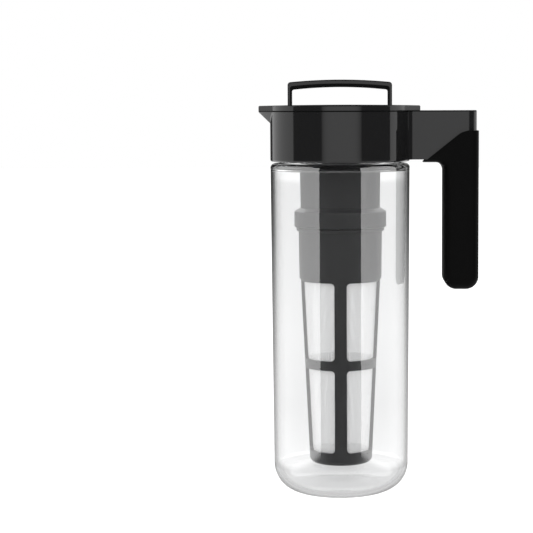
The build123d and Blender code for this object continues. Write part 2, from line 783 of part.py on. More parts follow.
# Bail: arched bar on two legs, each with a cam round its pivot
with BuildPart() as bail:
    bar_end_z = bail_top_z - bar_arc_drop
    with BuildSketch(Plane.XZ) as bail_side:
        with BuildLine():
            Line((-leg_out_x, pivot_z), (-leg_out_x, bar_end_z))
            ThreePointArc((-leg_out_x, bar_end_z), (0, bail_top_z), (leg_out_x, bar_end_z))
            Line((leg_out_x, bar_end_z), (leg_out_x, pivot_z))
            Line((leg_out_x, pivot_z), (leg_in_x, pivot_z))
            Line((leg_in_x, pivot_z), (leg_in_x, bar_end_z - bar_h))
            ThreePointArc(
                (leg_in_x, bar_end_z - bar_h), (0, bail_top_z - bar_h), (-leg_in_x, bar_end_z - bar_h)
            )
            Line((-leg_in_x, bar_end_z - bar_h), (-leg_in_x, pivot_z))
            Line((-leg_in_x, pivot_z), (-leg_out_x, pivot_z))
        make_face()
        for side in (1, -1):
            round_corners(
                bail_side,
                [
                    (side * leg_out_x, bar_end_z, bail_outer_r),
                    (side * leg_in_x, bar_end_z - bar_h, bail_inner_r),
                ],
            )
    extrude(amount=leg_depth / 2, both=True)
    bail_faces = [bail.faces().sort_by(Axis.Y)[0], bail.faces().sort_by(Axis.Y)[-1]]
    round_edges = [
        edge for face in bail_faces for edge in face.edges() if edge.center().Z > pivot_z + 0.1
    ]
    fillet(round_edges, radius=bail_edge_r)
    cam_mid = (cam_low_r + cam_high_r) / 2 * sin(radians(45))
    for start_x in (leg_in_x, -leg_out_x):
        with BuildSketch(Plane.YZ.offset(start_x)) as cam:
            with BuildLine():
                ThreePointArc(
                    (0, pivot_z - cam_low_r),
                    (-cam_mid, pivot_z - cam_mid),
                    (-cam_high_r, pivot_z),
                )
                Line((-cam_high_r, pivot_z), (-leg_depth / 2 + bail_edge_r, pivot_z + cam_low_r))
                Line(
                    (-leg_depth / 2 + bail_edge_r, pivot_z + cam_low_r),
                    (leg_depth / 2 - bail_edge_r, pivot_z + cam_low_r),
                )
                Line((leg_depth / 2 - bail_edge_r, pivot_z + cam_low_r), (cam_low_r, pivot_z))
                ThreePointArc(
                    (cam_low_r, pivot_z),
                    (cam_low_r * sin(radians(45)), pivot_z - cam_low_r * sin(radians(45))),
                    (0, pivot_z - cam_low_r),
                )
            make_face()
        extrude(amount=leg_w)
        with BuildSketch(Plane.YZ.offset(start_x)) as pin_hole:
            with Locations((0, pivot_z)):
                Circle(pin_r + pin_run_play)
        extrude(amount=leg_w, mode=Mode.SUBTRACT)
bail.part.label = "bail"
export_step(bail.part, "parts/bail.step")

# Pivot pins: one steel pin through each leg of the bail, held between the cover and the tray
with BuildPart() as pivot_pins:
    for side in (1, -1):
        with BuildSketch(Plane.YZ.offset(side * (leg_in_x + leg_w / 2))) as pin_section:
            with Locations((0, pivot_z)):
                Circle(pin_r)
        extrude(amount=pin_len / 2, both=True)
pivot_pins.part.label = "pivot_pins"
export_step(pivot_pins.part, "parts/pivot_pins.step")

# Filter tube: solid-walled tube that hangs on the plug's boss and ends in a coupling ring
with BuildPart() as filter_tube:
    with BuildSketch(Plane.XZ) as tube_section:
        tube_foot_r = tube_r - tube_draft
        with BuildLine():
            Polyline(
                (tube_in_r, tube_top_z),
                (tube_r, tube_top_z),
                (tube_foot_r, ring_top_z + flare_h),
                (coupling_r, ring_top_z),
                (coupling_r, tube_low_z),
                (coupling_in_r, tube_low_z),
                (coupling_in_r, coupling_ceiling_z),
                (tube_foot_r - tube_wall, coupling_ceiling_z),
                close=True,
            )
        make_face()
        round_corners(
            tube_section,
            [
                (coupling_r, ring_top_z, coupling_edge_r),
                (coupling_r, tube_low_z, coupling_edge_r),
            ],
        )
    revolve(axis=Axis.Z)
    tube_lug_z = boss_low_z + lug_h + lug_play
    extrude(lug_sketch(tube_lug_z, boss_r + lug_side_gap, tube_r - tube_wall / 2), amount=lug_h)
    coupling_lug_z = tube_low_z + coupling_edge_r
    extrude(
        lug_sketch(coupling_lug_z, basket_neck_r + lug_side_gap, coupling_r - coupling_wall / 2),
        amount=coupling_lug_h,
    )
filter_tube.part.label = "filter_tube"
export_step(filter_tube.part, "parts/filter_tube.step")

# Tube seal: flat ring between the plug and the top of the filter tube
with BuildPart() as tube_seal:
    seal_ring_in_r = tube_in_r - tube_seal_overhang
    seal_ring_out_r = tube_r - tube_seal_inset
    revolve(ring_sketch(seal_ring_in_r, seal_ring_out_r, tube_top_z, plug_low_z), axis=Axis.Z)
tube_seal.part.label = "tube_seal"
export_step(tube_seal.part, "parts/tube_seal.step")

# Basket frame: neck with lugs, flange, cup, four ribs with a middle band, and a closed cap
with BuildPart() as basket_frame:
    with BuildSketch(Plane.XZ) as basket_section:
        basket_neck_in_r = basket_neck_r - basket_neck_wall
        cup_in_top_r = cup_r - frame_wall
        cup_in_low_r = cup_r - cup_draft - frame_wall
        with BuildLine():
            Polyline(
                (0, basket_low_z),
                (frame_low_r, basket_low_z),
                (frame_top_r, cup_low_z),
                (cup_r - cup_draft, cup_low_z),
                (cup_r, flange_low_z),
                (flange_r, flange_low_z),
                (flange_r, flange_top_z),
                (basket_neck_r, flange_top_z),
                (basket_neck_r, basket_neck_top_z),
                (basket_neck_in_r, basket_neck_top_z),
                (basket_neck_in_r, flange_low_z),
                (cup_in_top_r, flange_low_z - cup_haunch),
                (cup_in_low_r, cup_low_z + frame_wall),
                (frame_top_r - frame_wall, cup_low_z + step_haunch),
                (frame_low_r - frame_wall, basket_low_z + frame_wall),
                (0, basket_low_z + frame_wall),
                close=True,
            )
        make_face()
        round_corners(
            basket_section,
            [
                (frame_low_r, basket_low_z, cap_curve_r),
                (frame_low_r - frame_wall, basket_low_z + frame_wall, cap_curve_r - frame_wall),
                (flange_r, flange_low_z, flange_edge_r),
                (flange_r, flange_top_z, flange_edge_r),
            ],
        )
    revolve(axis=Axis.Z)
    window_rows = [
        (window_low_z, mid_band_z - mid_band_h / 2),
        (mid_band_z + mid_band_h / 2, window_top_z),
    ]
    for row_low_z, row_high_z in window_rows:
        with BuildSketch(Plane.XY.offset(row_low_z)) as windows:
            Circle(cup_r)
            with PolarLocations(cup_r / 2, rib_count):
                Rectangle(cup_r, rib_w, mode=Mode.SUBTRACT)
        extrude(amount=row_high_z - row_low_z, mode=Mode.SUBTRACT)
    corner_heights = [height for row in window_rows for height in row]
    window_corners = [
        edge
        for edge in basket_frame.edges().filter_by(GeomType.LINE)
        if edge.length < 2 * frame_wall
        and any(abs(edge.center().Z - height) < 0.01 for height in corner_heights)
    ]
    fillet(window_corners, radius=window_corner_r)
    basket_lug_z = coupling_lug_z + coupling_lug_h + lug_play
    extrude(
        lug_sketch(
            basket_lug_z, basket_neck_r - basket_neck_wall / 2, coupling_in_r - lug_side_gap
        ),
        amount=coupling_lug_h,
    )
basket_frame.part.label = "basket_frame"
export_step(basket_frame.part, "parts/basket_frame.step")

# Basket seal: flat ring between the basket's neck and the ceiling of the coupling ring
with BuildPart() as basket_seal:
    revolve(
        ring_sketch(
            basket_neck_in_r, basket_neck_r + lug_side_gap, basket_neck_top_z, coupling_ceiling_z
        ),
        axis=Axis.Z,
    )
basket_seal.part.label = "basket_seal"
export_step(basket_seal.part, "parts/basket_seal.step")

# Mesh sleeve: fine mesh cone, modelled as a thin closed shell on the inner faces of the ribs
with BuildPart() as mesh_sleeve:
    wall_top_z = cup_low_z + step_haunch
    wall_low_z = basket_low_z + frame_wall
    wall_slope = (frame_top_r - frame_low_r) / (wall_top_z - wall_low_z)
    mesh_low_z = window_low_z - mesh_lap
    mesh_top_z = window_top_z + mesh_lap
    mesh_low_r = frame_low_r - frame_wall + wall_slope * (mesh_low_z - wall_low_z)
    mesh_top_r = frame_low_r - frame_wall + wall_slope * (mesh_top_z - wall_low_z)
    with BuildSketch(Plane.XZ) as mesh_section:
        with BuildLine():
            Polyline(
                (mesh_low_r, mesh_low_z),
                (mesh_top_r, mesh_top_z),
                (mesh_top_r - mesh_t, mesh_top_z),
                (mesh_low_r - mesh_t, mesh_low_z),
                close=True,
            )
        make_face()
    revolve(axis=Axis.Z)
mesh_sleeve.part.label = "mesh_sleeve"
export_step(mesh_sleeve.part, "parts/mesh_sleeve.step")
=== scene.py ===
import math

import bmesh
import bpy
import numpy as np
from mathutils import Euler, Matrix, Vector


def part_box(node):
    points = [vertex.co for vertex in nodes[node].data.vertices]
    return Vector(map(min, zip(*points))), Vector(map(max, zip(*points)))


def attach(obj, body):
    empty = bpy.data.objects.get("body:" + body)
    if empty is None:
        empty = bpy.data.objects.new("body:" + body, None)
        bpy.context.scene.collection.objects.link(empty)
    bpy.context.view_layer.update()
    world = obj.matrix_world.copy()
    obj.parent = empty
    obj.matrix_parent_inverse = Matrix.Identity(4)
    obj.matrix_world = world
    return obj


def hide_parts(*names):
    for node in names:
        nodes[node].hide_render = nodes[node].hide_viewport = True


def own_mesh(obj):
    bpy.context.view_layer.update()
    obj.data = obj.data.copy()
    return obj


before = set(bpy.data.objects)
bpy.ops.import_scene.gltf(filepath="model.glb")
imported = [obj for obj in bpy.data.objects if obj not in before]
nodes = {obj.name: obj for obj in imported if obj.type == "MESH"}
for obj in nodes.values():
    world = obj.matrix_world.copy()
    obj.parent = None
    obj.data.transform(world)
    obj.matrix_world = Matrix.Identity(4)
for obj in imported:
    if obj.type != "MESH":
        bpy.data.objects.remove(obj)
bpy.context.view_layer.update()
print("frame loaded:", len(nodes), "nodes")

mm = 0.001
tau = 2 * math.pi
tiny = 1e-9  # a length below this counts as none

# Camera: stands in front of the maker, a little above its middle, and looks slightly down
camera = {
    "place": (0.0, -1.105, 0.250),
    "tiltDown": 5.32,  # degrees
    "roll": -0.20,
    "lens": 115.0,
    "sensor": 36.0,
    "shiftX": -0.1387,
    "clip": (0.01, 50),
}


def makeCamera():
    data = bpy.data.cameras.new("studioCamera")
    data.lens = camera["lens"]
    data.sensor_width = camera["sensor"]
    data.shift_x = camera["shiftX"]
    data.clip_start, data.clip_end = camera["clip"]
    studioCamera = bpy.data.objects.new("studioCamera", data)
    studioCamera.location = camera["place"]
    tilt = Euler((math.radians(90 - camera["tiltDown"]), 0, 0)).to_matrix()
    roll = Matrix.Rotation(math.radians(camera["roll"]), 3, "Z")
    studioCamera.rotation_euler = (tilt @ roll).to_euler()
    bpy.context.scene.collection.objects.link(studioCamera)
    bpy.context.scene.camera = studioCamera


makeCamera()
bpy.context.scene.view_settings.view_transform = "Standard"
print("camera ready")


# Mesh helpers: every new surface is a grid of points worked out with numpy

def meshObject(name, points, faces, material, uv=None):
    # A mesh from a list of points and faces, smooth, with one material
    mesh = bpy.data.meshes.new(name)
    mesh.from_pydata(points.tolist(), [], faces)
    mesh.polygons.foreach_set("use_smooth", np.ones(len(mesh.polygons), bool))
    if uv is not None:
        corners = np.empty(len(mesh.loops), np.int32)
        mesh.loops.foreach_get("vertex_index", corners)
        layer = mesh.uv_layers.new(name="UVMap")
        layer.data.foreach_set("uv", uv[corners].ravel())
    mesh.materials.append(material)
    mesh.update()
    piece = bpy.data.objects.new(name, mesh)
    bpy.context.scene.collection.objects.link(piece)
    return piece


def faceOutward(piece):
    # Turns every face of a closed mesh outwards
    work = bmesh.new()
    work.from_mesh(piece.data)
    bmesh.ops.recalc_face_normals(work, faces=work.faces)
    work.to_mesh(piece.data)
    work.free()
    return piece


def gridFaces(rows, columns, closeRows, closeColumns, start=0):
    # Quads of a grid, row after row. Their normals follow (column direction) x (row direction)
    lastRow = rows if closeRows else rows - 1
    lastColumn = columns if closeColumns else columns - 1
    row, column = np.meshgrid(np.arange(lastRow), np.arange(lastColumn), indexing="ij")
    nextRow = (row + 1) % rows
    nextColumn = (column + 1) % columns
    quads = np.stack([
        row * columns + column,
        row * columns + nextColumn,
        nextRow * columns + nextColumn,
        nextRow * columns + column,
    ], axis=-1)
    return quads.reshape(-1, 4) + start


def roundedLine(corners, arcSteps=8, spacing=6.0, edgeStep=0.25):
    # An open line through corners (across, up, radius). Each corner is an arc that touches both of
    # its runs, and a run has a point edgeStep from each of its ends and one per spacing between them
    parts = [np.array([corners[0][:2]], float)]
    here = np.array(corners[0][:2], float)
    for number in range(1, len(corners)):
        corner = np.array(corners[number][:2], float)
        radius = corners[number][2] if number < len(corners) - 1 else 0
        before = corner - here
        before /= max(np.linalg.norm(before), tiny)
        if radius > 0:
            after = np.array(corners[number + 1][:2], float) - corner
            after /= np.linalg.norm(after)
            turn = math.acos(np.clip(before @ after, -1, 1))
            reach = radius * math.tan(turn / 2)
            arcStart = corner - before * reach
            side = 1 if before[0] * after[1] - before[1] * after[0] > 0 else -1
            centre = arcStart + side * radius * np.array([-before[1], before[0]])
            angles = np.linspace(0, side * turn, arcSteps + 1)[:, None]
            spoke = arcStart - centre
            normal = np.array([-spoke[1], spoke[0]])
            arc = centre + spoke * np.cos(angles) + normal * np.sin(angles)
        else:
            arcStart = corner
            arc = corner[None]
        length = np.linalg.norm(arcStart - here)
        edge = min(edgeStep, length / 4)
        inner = np.linspace(edge, length - edge, max(2, int(length / spacing) + 1))
        parts.append(here + np.outer(inner, arcStart - here) / max(length, tiny))
        parts.append(arc)
        here = arc[-1]
    return np.concatenate(parts)


def revolved(name, line, material, turns, reach=None):
    # Turns a line of (radius, height) in mm round the Z axis. A line that ends on the axis is closed
    # there by one point. reach(angle, height, radius) adds to the radius, as lugs do
    angle = np.arange(turns) * tau / turns
    onAxis = line[:, 0] < tiny
    body = line[~onAxis]
    radius = np.repeat(body[:, :1], turns, axis=1)
    height = np.repeat(body[:, 1:], turns, axis=1)
    if reach is not None:
        radius = radius + reach(angle[None], height, radius)
    points = np.stack([radius * np.cos(angle), radius * np.sin(angle), height], axis=-1)
    points = points.reshape(-1, 3)
    closed = not onAxis.any()
    faces = gridFaces(len(body), turns, closed, True).tolist()
    ring = np.arange(turns)
    if onAxis[0]:
        faces += np.stack([np.full(turns, len(points)), (ring + 1) % turns, ring], axis=1).tolist()
        points = np.vstack([points, [0, 0, line[0, 1]]])
    if onAxis[-1]:
        last = (len(body) - 1) * turns
        faces += np.stack([last + ring, last + (ring + 1) % turns, np.full(turns, len(points))],
                          axis=1).tolist()
        points = np.vstack([points, [0, 0, line[-1, 1]]])
    return meshObject(name, points * mm, faces, material)


# Material helpers

def newMaterial(name):
    material = bpy.data.materials.new(name)
    material.use_nodes = True
    tree = material.node_tree
    tree.nodes.clear()
    output = tree.nodes.new("ShaderNodeOutputMaterial")
    output.location = (600, 0)
    shader = tree.nodes.new("ShaderNodeBsdfPrincipled")
    shader.location = (300, 0)
    tree.links.new(shader.outputs["BSDF"], output.inputs["Surface"])
    return material, tree, shader


grainLook = {"grainDetail": 2, "cloudDetail": 3, "cloudRange": (0.3, 0.7)}


def grainGroup():
    # Fine mould texture and soft clouds of gloss, from Object coordinates
    group = bpy.data.node_groups.new("mouldGrain", "ShaderNodeTree")
    for socket in ("Grain Scale", "Cloud Scale", "Roughness Low", "Roughness High"):
        group.interface.new_socket(socket, in_out="INPUT", socket_type="NodeSocketFloat")
    for socket in ("Height", "Roughness"):
        group.interface.new_socket(socket, in_out="OUTPUT", socket_type="NodeSocketFloat")
    inputs = group.nodes.new("NodeGroupInput")
    outputs = group.nodes.new("NodeGroupOutput")
    place = group.nodes.new("ShaderNodeTexCoord")
    grain = group.nodes.new("ShaderNodeTexNoise")
    grain.inputs["Detail"].default_value = grainLook["grainDetail"]
    clouds = group.nodes.new("ShaderNodeTexNoise")
    clouds.inputs["Detail"].default_value = grainLook["cloudDetail"]
    spread = group.nodes.new("ShaderNodeMapRange")
    spread.inputs["From Min"].default_value = grainLook["cloudRange"][0]
    spread.inputs["From Max"].default_value = grainLook["cloudRange"][1]
    link = group.links.new
    link(place.outputs["Object"], grain.inputs["Vector"])
    link(place.outputs["Object"], clouds.inputs["Vector"])
    link(inputs.outputs["Grain Scale"], grain.inputs["Scale"])
    link(inputs.outputs["Cloud Scale"], clouds.inputs["Scale"])
    link(clouds.outputs["Fac"], spread.inputs["Value"])
    link(inputs.outputs["Roughness Low"], spread.inputs["To Min"])
    link(inputs.outputs["Roughness High"], spread.inputs["To Max"])
    link(grain.outputs["Fac"], outputs.inputs["Height"])
    link(spread.outputs["Result"], outputs.inputs["Roughness"])
    return group


mouldGrain = grainGroup()


def grainedMaterial(name, look):
    # Plastic, rubber or steel: a base colour, gloss that varies in soft clouds, and a fine grain
    material, tree, shader = newMaterial(name)
    shader.inputs["Base Color"].default_value = (*look["colour"], 1)
    shader.inputs["IOR"].default_value = look["ior"]
    shader.inputs["Specular IOR Level"].default_value = look.get("specular", 0.5)
    shader.inputs["Metallic"].default_value = look.get("metallic", 0)
    grain = tree.nodes.new("ShaderNodeGroup")
    grain.node_tree = mouldGrain
    grain.inputs["Grain Scale"].default_value = look["grainScale"]
    grain.inputs["Cloud Scale"].default_value = look["cloudScale"]
    roughnessLow, roughnessHigh = look["roughness"]
    grain.inputs["Roughness Low"].default_value = roughnessLow
    grain.inputs["Roughness High"].default_value = roughnessHigh
    bump = tree.nodes.new("ShaderNodeBump")
    bump.inputs["Distance"].default_value = look["grainDepth"]
    bump.inputs["Strength"].default_value = 1.0
    tree.links.new(grain.outputs["Height"], bump.inputs["Height"])
    tree.links.new(bump.outputs["Normal"], shader.inputs["Normal"])
    # Where the look lists a band, the colour there is painted darker as shade in the seam
    if "seamShadeBand" in look:
        addSeamShadeBand(tree, shader, grain.outputs["Roughness"], look)
    else:
        tree.links.new(grain.outputs["Roughness"], shader.inputs["Roughness"])
    return material


def addSeamShadeBand(tree, shader, gloss, look):
    # Between two heights the moulding is unpolished, and its colour is painted darker: painted shade at
    # the bottom of the seam, where the gap keeps light out
    colourA, colourB, colourOut = 6, 7, 2  # the Mix node's colour sockets
    low, high = look["seamShadeBand"]
    place = tree.nodes.new("ShaderNodeTexCoord")
    split = tree.nodes.new("ShaderNodeSeparateXYZ")
    band = tree.nodes.new("ShaderNodeMath")
    band.operation = "COMPARE"
    band.inputs[1].default_value = (low + high) / 2 * mm
    band.inputs[2].default_value = (high - low) / 2 * mm
    rough = tree.nodes.new("ShaderNodeMix")
    rough.inputs["B"].default_value = look["mattRoughness"]
    # Painted shade: inside the band the base colour is darkened, as the seam's gap would shade it
    dark = tree.nodes.new("ShaderNodeMix")
    dark.data_type = "RGBA"
    dark.inputs[colourA].default_value = (*look["colour"], 1)
    dark.inputs[colourB].default_value = (*look["seamShadeColour"], 1)
    tree.links.new(place.outputs["Object"], split.inputs[0])
    tree.links.new(split.outputs["Z"], band.inputs[0])
    tree.links.new(band.outputs[0], rough.inputs["Factor"])
    tree.links.new(band.outputs[0], dark.inputs["Factor"])
    tree.links.new(gloss, rough.inputs["A"])
    tree.links.new(rough.outputs["Result"], shader.inputs["Roughness"])
    tree.links.new(dark.outputs[colourOut], shader.inputs["Base Color"])


glossLook = {"colour": (0.0085, 0.0085, 0.0088), "ior": 1.5, "roughness": (0.06, 0.09),
             "grainScale": 900, "grainDepth": 0.0000005, "cloudScale": 18}
# The band is a pair of heights in mm, between which the colour is painted darker as shade in the seam
# and the gloss goes matt. These two take in the seam between the collar and the lid
collarSeamShade = {"seamShadeBand": (247.52, 248.5), "mattRoughness": 0.95, "seamShadeColour": (0.002, 0.002, 0.002)}
lidSeamShade = {"seamShadeBand": (247.3, 248.27), "mattRoughness": 0.95, "seamShadeColour": (0.001, 0.001, 0.001)}
finishes = {
    "blackGloss": glossLook,
    "collarGlossSeamShade": {**glossLook, **collarSeamShade},
    "lidGlossSeamShade": {**glossLook, **lidSeamShade},
    "innerBlack": {"colour": (0.012, 0.012, 0.012), "ior": 1.5, "roughness": (0.35, 0.45),
                   "grainScale": 2500, "grainDepth": 0.000006, "cloudScale": 30},
    "softGrip": {"colour": (0.002, 0.002, 0.002), "ior": 1.45, "specular": 0.06,
                 "roughness": (0.45, 0.55), "grainScale": 3500, "grainDepth": 0.00002, "cloudScale": 25},
    "filterGrey": {"colour": (0.010, 0.010, 0.0105), "ior": 1.5, "roughness": (0.30, 0.36),
                   "grainScale": 3000, "grainDepth": 0.000001, "cloudScale": 20},
    "silicone": {"colour": (0.55, 0.56, 0.57), "ior": 1.42, "roughness": (0.45, 0.6),
                 "grainScale": 2500, "grainDepth": 0.00001, "cloudScale": 40},
    "steel": {"colour": (0.62, 0.61, 0.60), "ior": 2.5, "metallic": 1, "roughness": (0.22, 0.32),
              "grainScale": 4000, "grainDepth": 0.000003, "cloudScale": 60},
}
materials = {name: grainedMaterial(name, look) for name, look in finishes.items()}

clearLook = {"tint": (0.985, 0.988, 0.99), "roughness": 0, "ior": 1.54}


def clearMaterial():
    # Clear plastic with a faint cool tint
    material, tree, shader = newMaterial("clearPlastic")
    shader.inputs["Base Color"].default_value = (*clearLook["tint"], 1)
    shader.inputs["Transmission Weight"].default_value = 1
    shader.inputs["Roughness"].default_value = clearLook["roughness"]
    shader.inputs["IOR"].default_value = clearLook["ior"]
    return material


materials["clearPlastic"] = clearMaterial()

# pitch is in mm. threadEdge is where on the wave a thread starts, and where it is solid
meshLook = {"colour": (0.80, 0.80, 0.80), "roughness": 0.5, "pitch": 0.5, "threadEdge": (-0.2, 0.3)}


def meshMaterial():
    # Plain-woven fine mesh: threads round and up the sleeve, open between them. A thread is where the
    # greater of two sine waves of the pitch, one round and one up, is above threadEdge
    material, tree, shader = newMaterial("fineMesh")
    shader.inputs["Base Color"].default_value = (*meshLook["colour"], 1)
    shader.inputs["Roughness"].default_value = meshLook["roughness"]
    place = tree.nodes.new("ShaderNodeUVMap")
    place.uv_map = "UVMap"
    split = tree.nodes.new("ShaderNodeSeparateXYZ")
    tree.links.new(place.outputs["UV"], split.inputs["Vector"])
    waves = []
    for axis in ("X", "Y"):
        turn = tree.nodes.new("ShaderNodeMath")
        turn.operation = "MULTIPLY"
        turn.inputs[1].default_value = tau / meshLook["pitch"]
        wave = tree.nodes.new("ShaderNodeMath")
        wave.operation = "SINE"
        tree.links.new(split.outputs[axis], turn.inputs[0])
        tree.links.new(turn.outputs[0], wave.inputs[0])
        waves.append(wave)
    thread = tree.nodes.new("ShaderNodeMath")
    thread.operation = "MAXIMUM"
    tree.links.new(waves[0].outputs[0], thread.inputs[0])
    tree.links.new(waves[1].outputs[0], thread.inputs[1])
    cover = tree.nodes.new("ShaderNodeMapRange")
    cover.inputs["From Min"].default_value = meshLook["threadEdge"][0]
    cover.inputs["From Max"].default_value = meshLook["threadEdge"][1]
    tree.links.new(thread.outputs[0], cover.inputs["Value"])
    tree.links.new(cover.outputs["Result"], shader.inputs["Alpha"])
    return material


materials["fineMesh"] = meshMaterial()
print("materials ready:", len(materials))


# Finishes of the carried-over pieces

nodeFinish = {
    "collar": "collarGlossSeamShade",
    "lid_cover": "lidGlossSeamShade",
    "grip_sleeve": "softGrip",
    "handle_core": "innerBlack",
    "lid_tray": "innerBlack",
    "lid_plug": "innerBlack",
    "throat_ring": "innerBlack",
    "push_ring": "innerBlack",
    "filter_tube": "filterGrey",
    "basket_frame": "filterGrey",
    "neck_seal": "silicone",
    "tube_seal": "silicone",
    "basket_seal": "silicone",
    "handle_screws": "steel",
    "pivot_pins": "steel",
}
for name, finish in nodeFinish.items():
    slots = nodes[name].data.materials
    slots.clear()
    slots.append(materials[finish])
print("carried-over pieces finished:", len(nodeFinish))


# Jug: clear shell with a foot curve, a shoulder and a neck with three lugs. Lengths in mm from here on

jug = {
    "topR": 45.1,
    "footR": 43.7,
    "wall": 2.5,
    "floor": 3.0,
    "footCurve": 18.0,
    "innerFootCurve": 15.5,
    "shoulderZ": 214.5,
    "shoulderCurve": 3.0,
    "neckR": 39.1,
    "boreR": 36.6,
    "rimZ": 236.0,
    "smallCurve": 0.8,
    "underCurve": 2.5,
    "lugReach": 2.6,
    "lugZ": (222.0, 225.0),
    "lugAngle": 38.0,  # degrees
    "lugCount": 3,
    "lugStep": 0.02,  # height over which a lug's face steps out
    "arcSteps": 14,
    "turns": 256,
}


def neckLugs(angle, height, radius):
    # Adds lugReach to the neck's outside between lugZ's two heights, in equal arcs spread evenly round
    pitch = tau / jug["lugCount"]
    aside = np.abs((angle + pitch / 2) % pitch - pitch / 2)
    low, high = jug["lugZ"]
    onLug = (aside <= math.radians(jug["lugAngle"] / 2)) & (height >= low) & (height <= high)
    return jug["lugReach"] * (onLug & (radius > jug["neckR"] - jug["lugStep"]))


def jugShell():
    # Outside from the middle of the foot up to the rim, then inside and down to the middle of the floor
    wall = jug["wall"]
    lugLow, lugHigh = jug["lugZ"]
    underZ = jug["shoulderZ"] - wall
    corners = [
        (0, 0, 0),
        (jug["footR"], 0, jug["footCurve"]),
        (jug["topR"], jug["shoulderZ"], jug["shoulderCurve"]),
        (jug["neckR"], jug["shoulderZ"], jug["smallCurve"]),
        (jug["neckR"], lugLow - jug["lugStep"], 0),
        (jug["neckR"], lugLow, 0),
        (jug["neckR"], lugHigh, 0),
        (jug["neckR"], lugHigh + jug["lugStep"], 0),
        (jug["neckR"], jug["rimZ"], jug["smallCurve"]),
        (jug["boreR"], jug["rimZ"], jug["smallCurve"]),
        (jug["boreR"], underZ, jug["smallCurve"]),
        (jug["topR"] - wall, underZ, jug["underCurve"]),
        (jug["footR"] - wall, jug["floor"], jug["innerFootCurve"]),
        (0, jug["floor"], 0),
    ]
    line = roundedLine(corners, jug["arcSteps"])
    return revolved("jugShell", line, materials["clearPlastic"], jug["turns"], neckLugs)


jugPiece = jugShell()
jugPiece.visible_shadow = False
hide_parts("jug_body")
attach(jugPiece, "jug")
print("jug ready")


# Bail: bar carried along an arch, whose inner half slopes back, with a cam round each pivot

bail = {
    "legOutX": 33.7,
    "legInX": 30.8,
    "pivotZ": 248.5,
    "topZ": 268.2,
    "barHeight": 4.8,
    "barDrop": 1.7,  # the bar's ends are this much lower than its middle
    "depth": 5.0,
    "outerCurve": 2.0,
    "innerCurve": 1.3,
    "outerEdge": 0.9,
    "innerEdge": 0.5,
    "edgeStep": 0.25,  # the first point past a round edge
    "slopeStart": 0.52,  # share of the bar's height
    "slopeBend": ((-0.3, 0), (-0.06, 0), (0.06, 0.03), (0.3, 0.12)),  # (further in, further back)
    "slopeDepth": 0.9,
    "slopeRest": 0.1,  # how much of the slope is left at its inner edge
    "footLift": 1.6,
    "legSteps": 10,
    "cornerSteps": 12,
    "barSteps": 24,
    "edgeSteps": 7,
    "camLow": 3.0,
    "camHigh": 5.0,
    "camEdge": 0.25,
    "camTurns": 48,
    "pinHole": 1.3,
}


def archLine(halfWidth, topZ, corner):
    # Arch from foot to foot: straight legs, round corners, and a bar on one arc that falls by barDrop.
    # The corner's circle touches the leg and lies inside the bar's circle
    barR = (halfWidth ** 2 + bail["barDrop"] ** 2) / (2 * bail["barDrop"])
    barCentre = topZ - barR
    cornerX = halfWidth - corner
    cornerZ = barCentre + math.sqrt((barR - corner) ** 2 - cornerX ** 2)
    meet = math.atan2(cornerZ - barCentre, cornerX)
    leg = np.linspace(bail["pivotZ"] + bail["footLift"], cornerZ, bail["legSteps"])[:-1]
    bend = np.linspace(0, meet, bail["cornerSteps"])[:-1]
    bar = np.linspace(meet, math.pi / 2, bail["barSteps"])
    legAcross = np.full(len(leg), halfWidth)
    across = np.concatenate([legAcross, cornerX + corner * np.cos(bend), barR * np.cos(bar)])
    up = np.concatenate([leg, cornerZ + corner * np.sin(bend), barCentre + barR * np.sin(bar)])
    half = np.stack([across, up], axis=1)
    return np.concatenate([half, half[-2::-1] * [-1, 1]])


def barSection():
    # Section of the bar as rows of (share of its height, mm further in, depth), from front to back:
    # round outer edge, upright face, sloping face, round inner edge, and the same again mirrored
    front = -bail["depth"] / 2
    outer, inner = bail["outerEdge"], bail["innerEdge"]
    start, slope = bail["slopeStart"], bail["slopeDepth"]
    step = bail["edgeStep"]
    turn = np.linspace(0, math.pi / 2, bail["edgeSteps"])
    zero = np.zeros(len(turn))
    outerDepth = front + outer * (1 - np.sin(turn))
    innerDepth = front + slope + inner * (1 - np.cos(turn))
    outerArc = np.stack([zero, outer * (1 - np.cos(turn)), outerDepth], axis=1)
    innerArc = np.stack([zero + 1, inner * (np.sin(turn) - 1), innerDepth], axis=1)
    face = [(0, outer + step, front)]
    face += [(start, furtherIn, front + furtherBack) for furtherIn, furtherBack in bail["slopeBend"]]
    face += [(1, -inner - step, front + slope - bail["slopeRest"])]
    outerSide = [(0, 0, front + outer + step)]
    innerSide = [(1, 0, front + slope + inner + step)]
    side = np.vstack([outerSide, outerArc, face, innerArc, innerSide])
    return np.vstack([side, side[::-1] * [1, 1, -1]])


def camGrid(side):
    # Cam as a ring round the pivot, from leg face to leg face. Its radius grows from camLow to camHigh
    # towards the front, in step with the angle
    turns = bail["camTurns"]
    angle = np.arange(turns) * tau / turns
    lobe = np.clip(1 - np.abs(angle - math.pi) / (math.pi / 2), 0, 1)
    rim = bail["camLow"] + (bail["camHigh"] - bail["camLow"]) * lobe
    edge = bail["camEdge"]
    low, high = bail["legInX"], bail["legOutX"]
    across = [low, low, low, low + edge, high - edge, high, high, high]
    inset = [None, 2 * edge, edge, 0, 0, edge, 2 * edge, None]
    hole = np.full(turns, bail["pinHole"])
    radius = np.stack([hole if less is None else rim - less for less in inset])
    place = np.broadcast_to(side * np.array(across)[:, None], radius.shape)
    return np.stack([place, radius * np.cos(angle), bail["pivotZ"] + radius * np.sin(angle)], axis=-1)


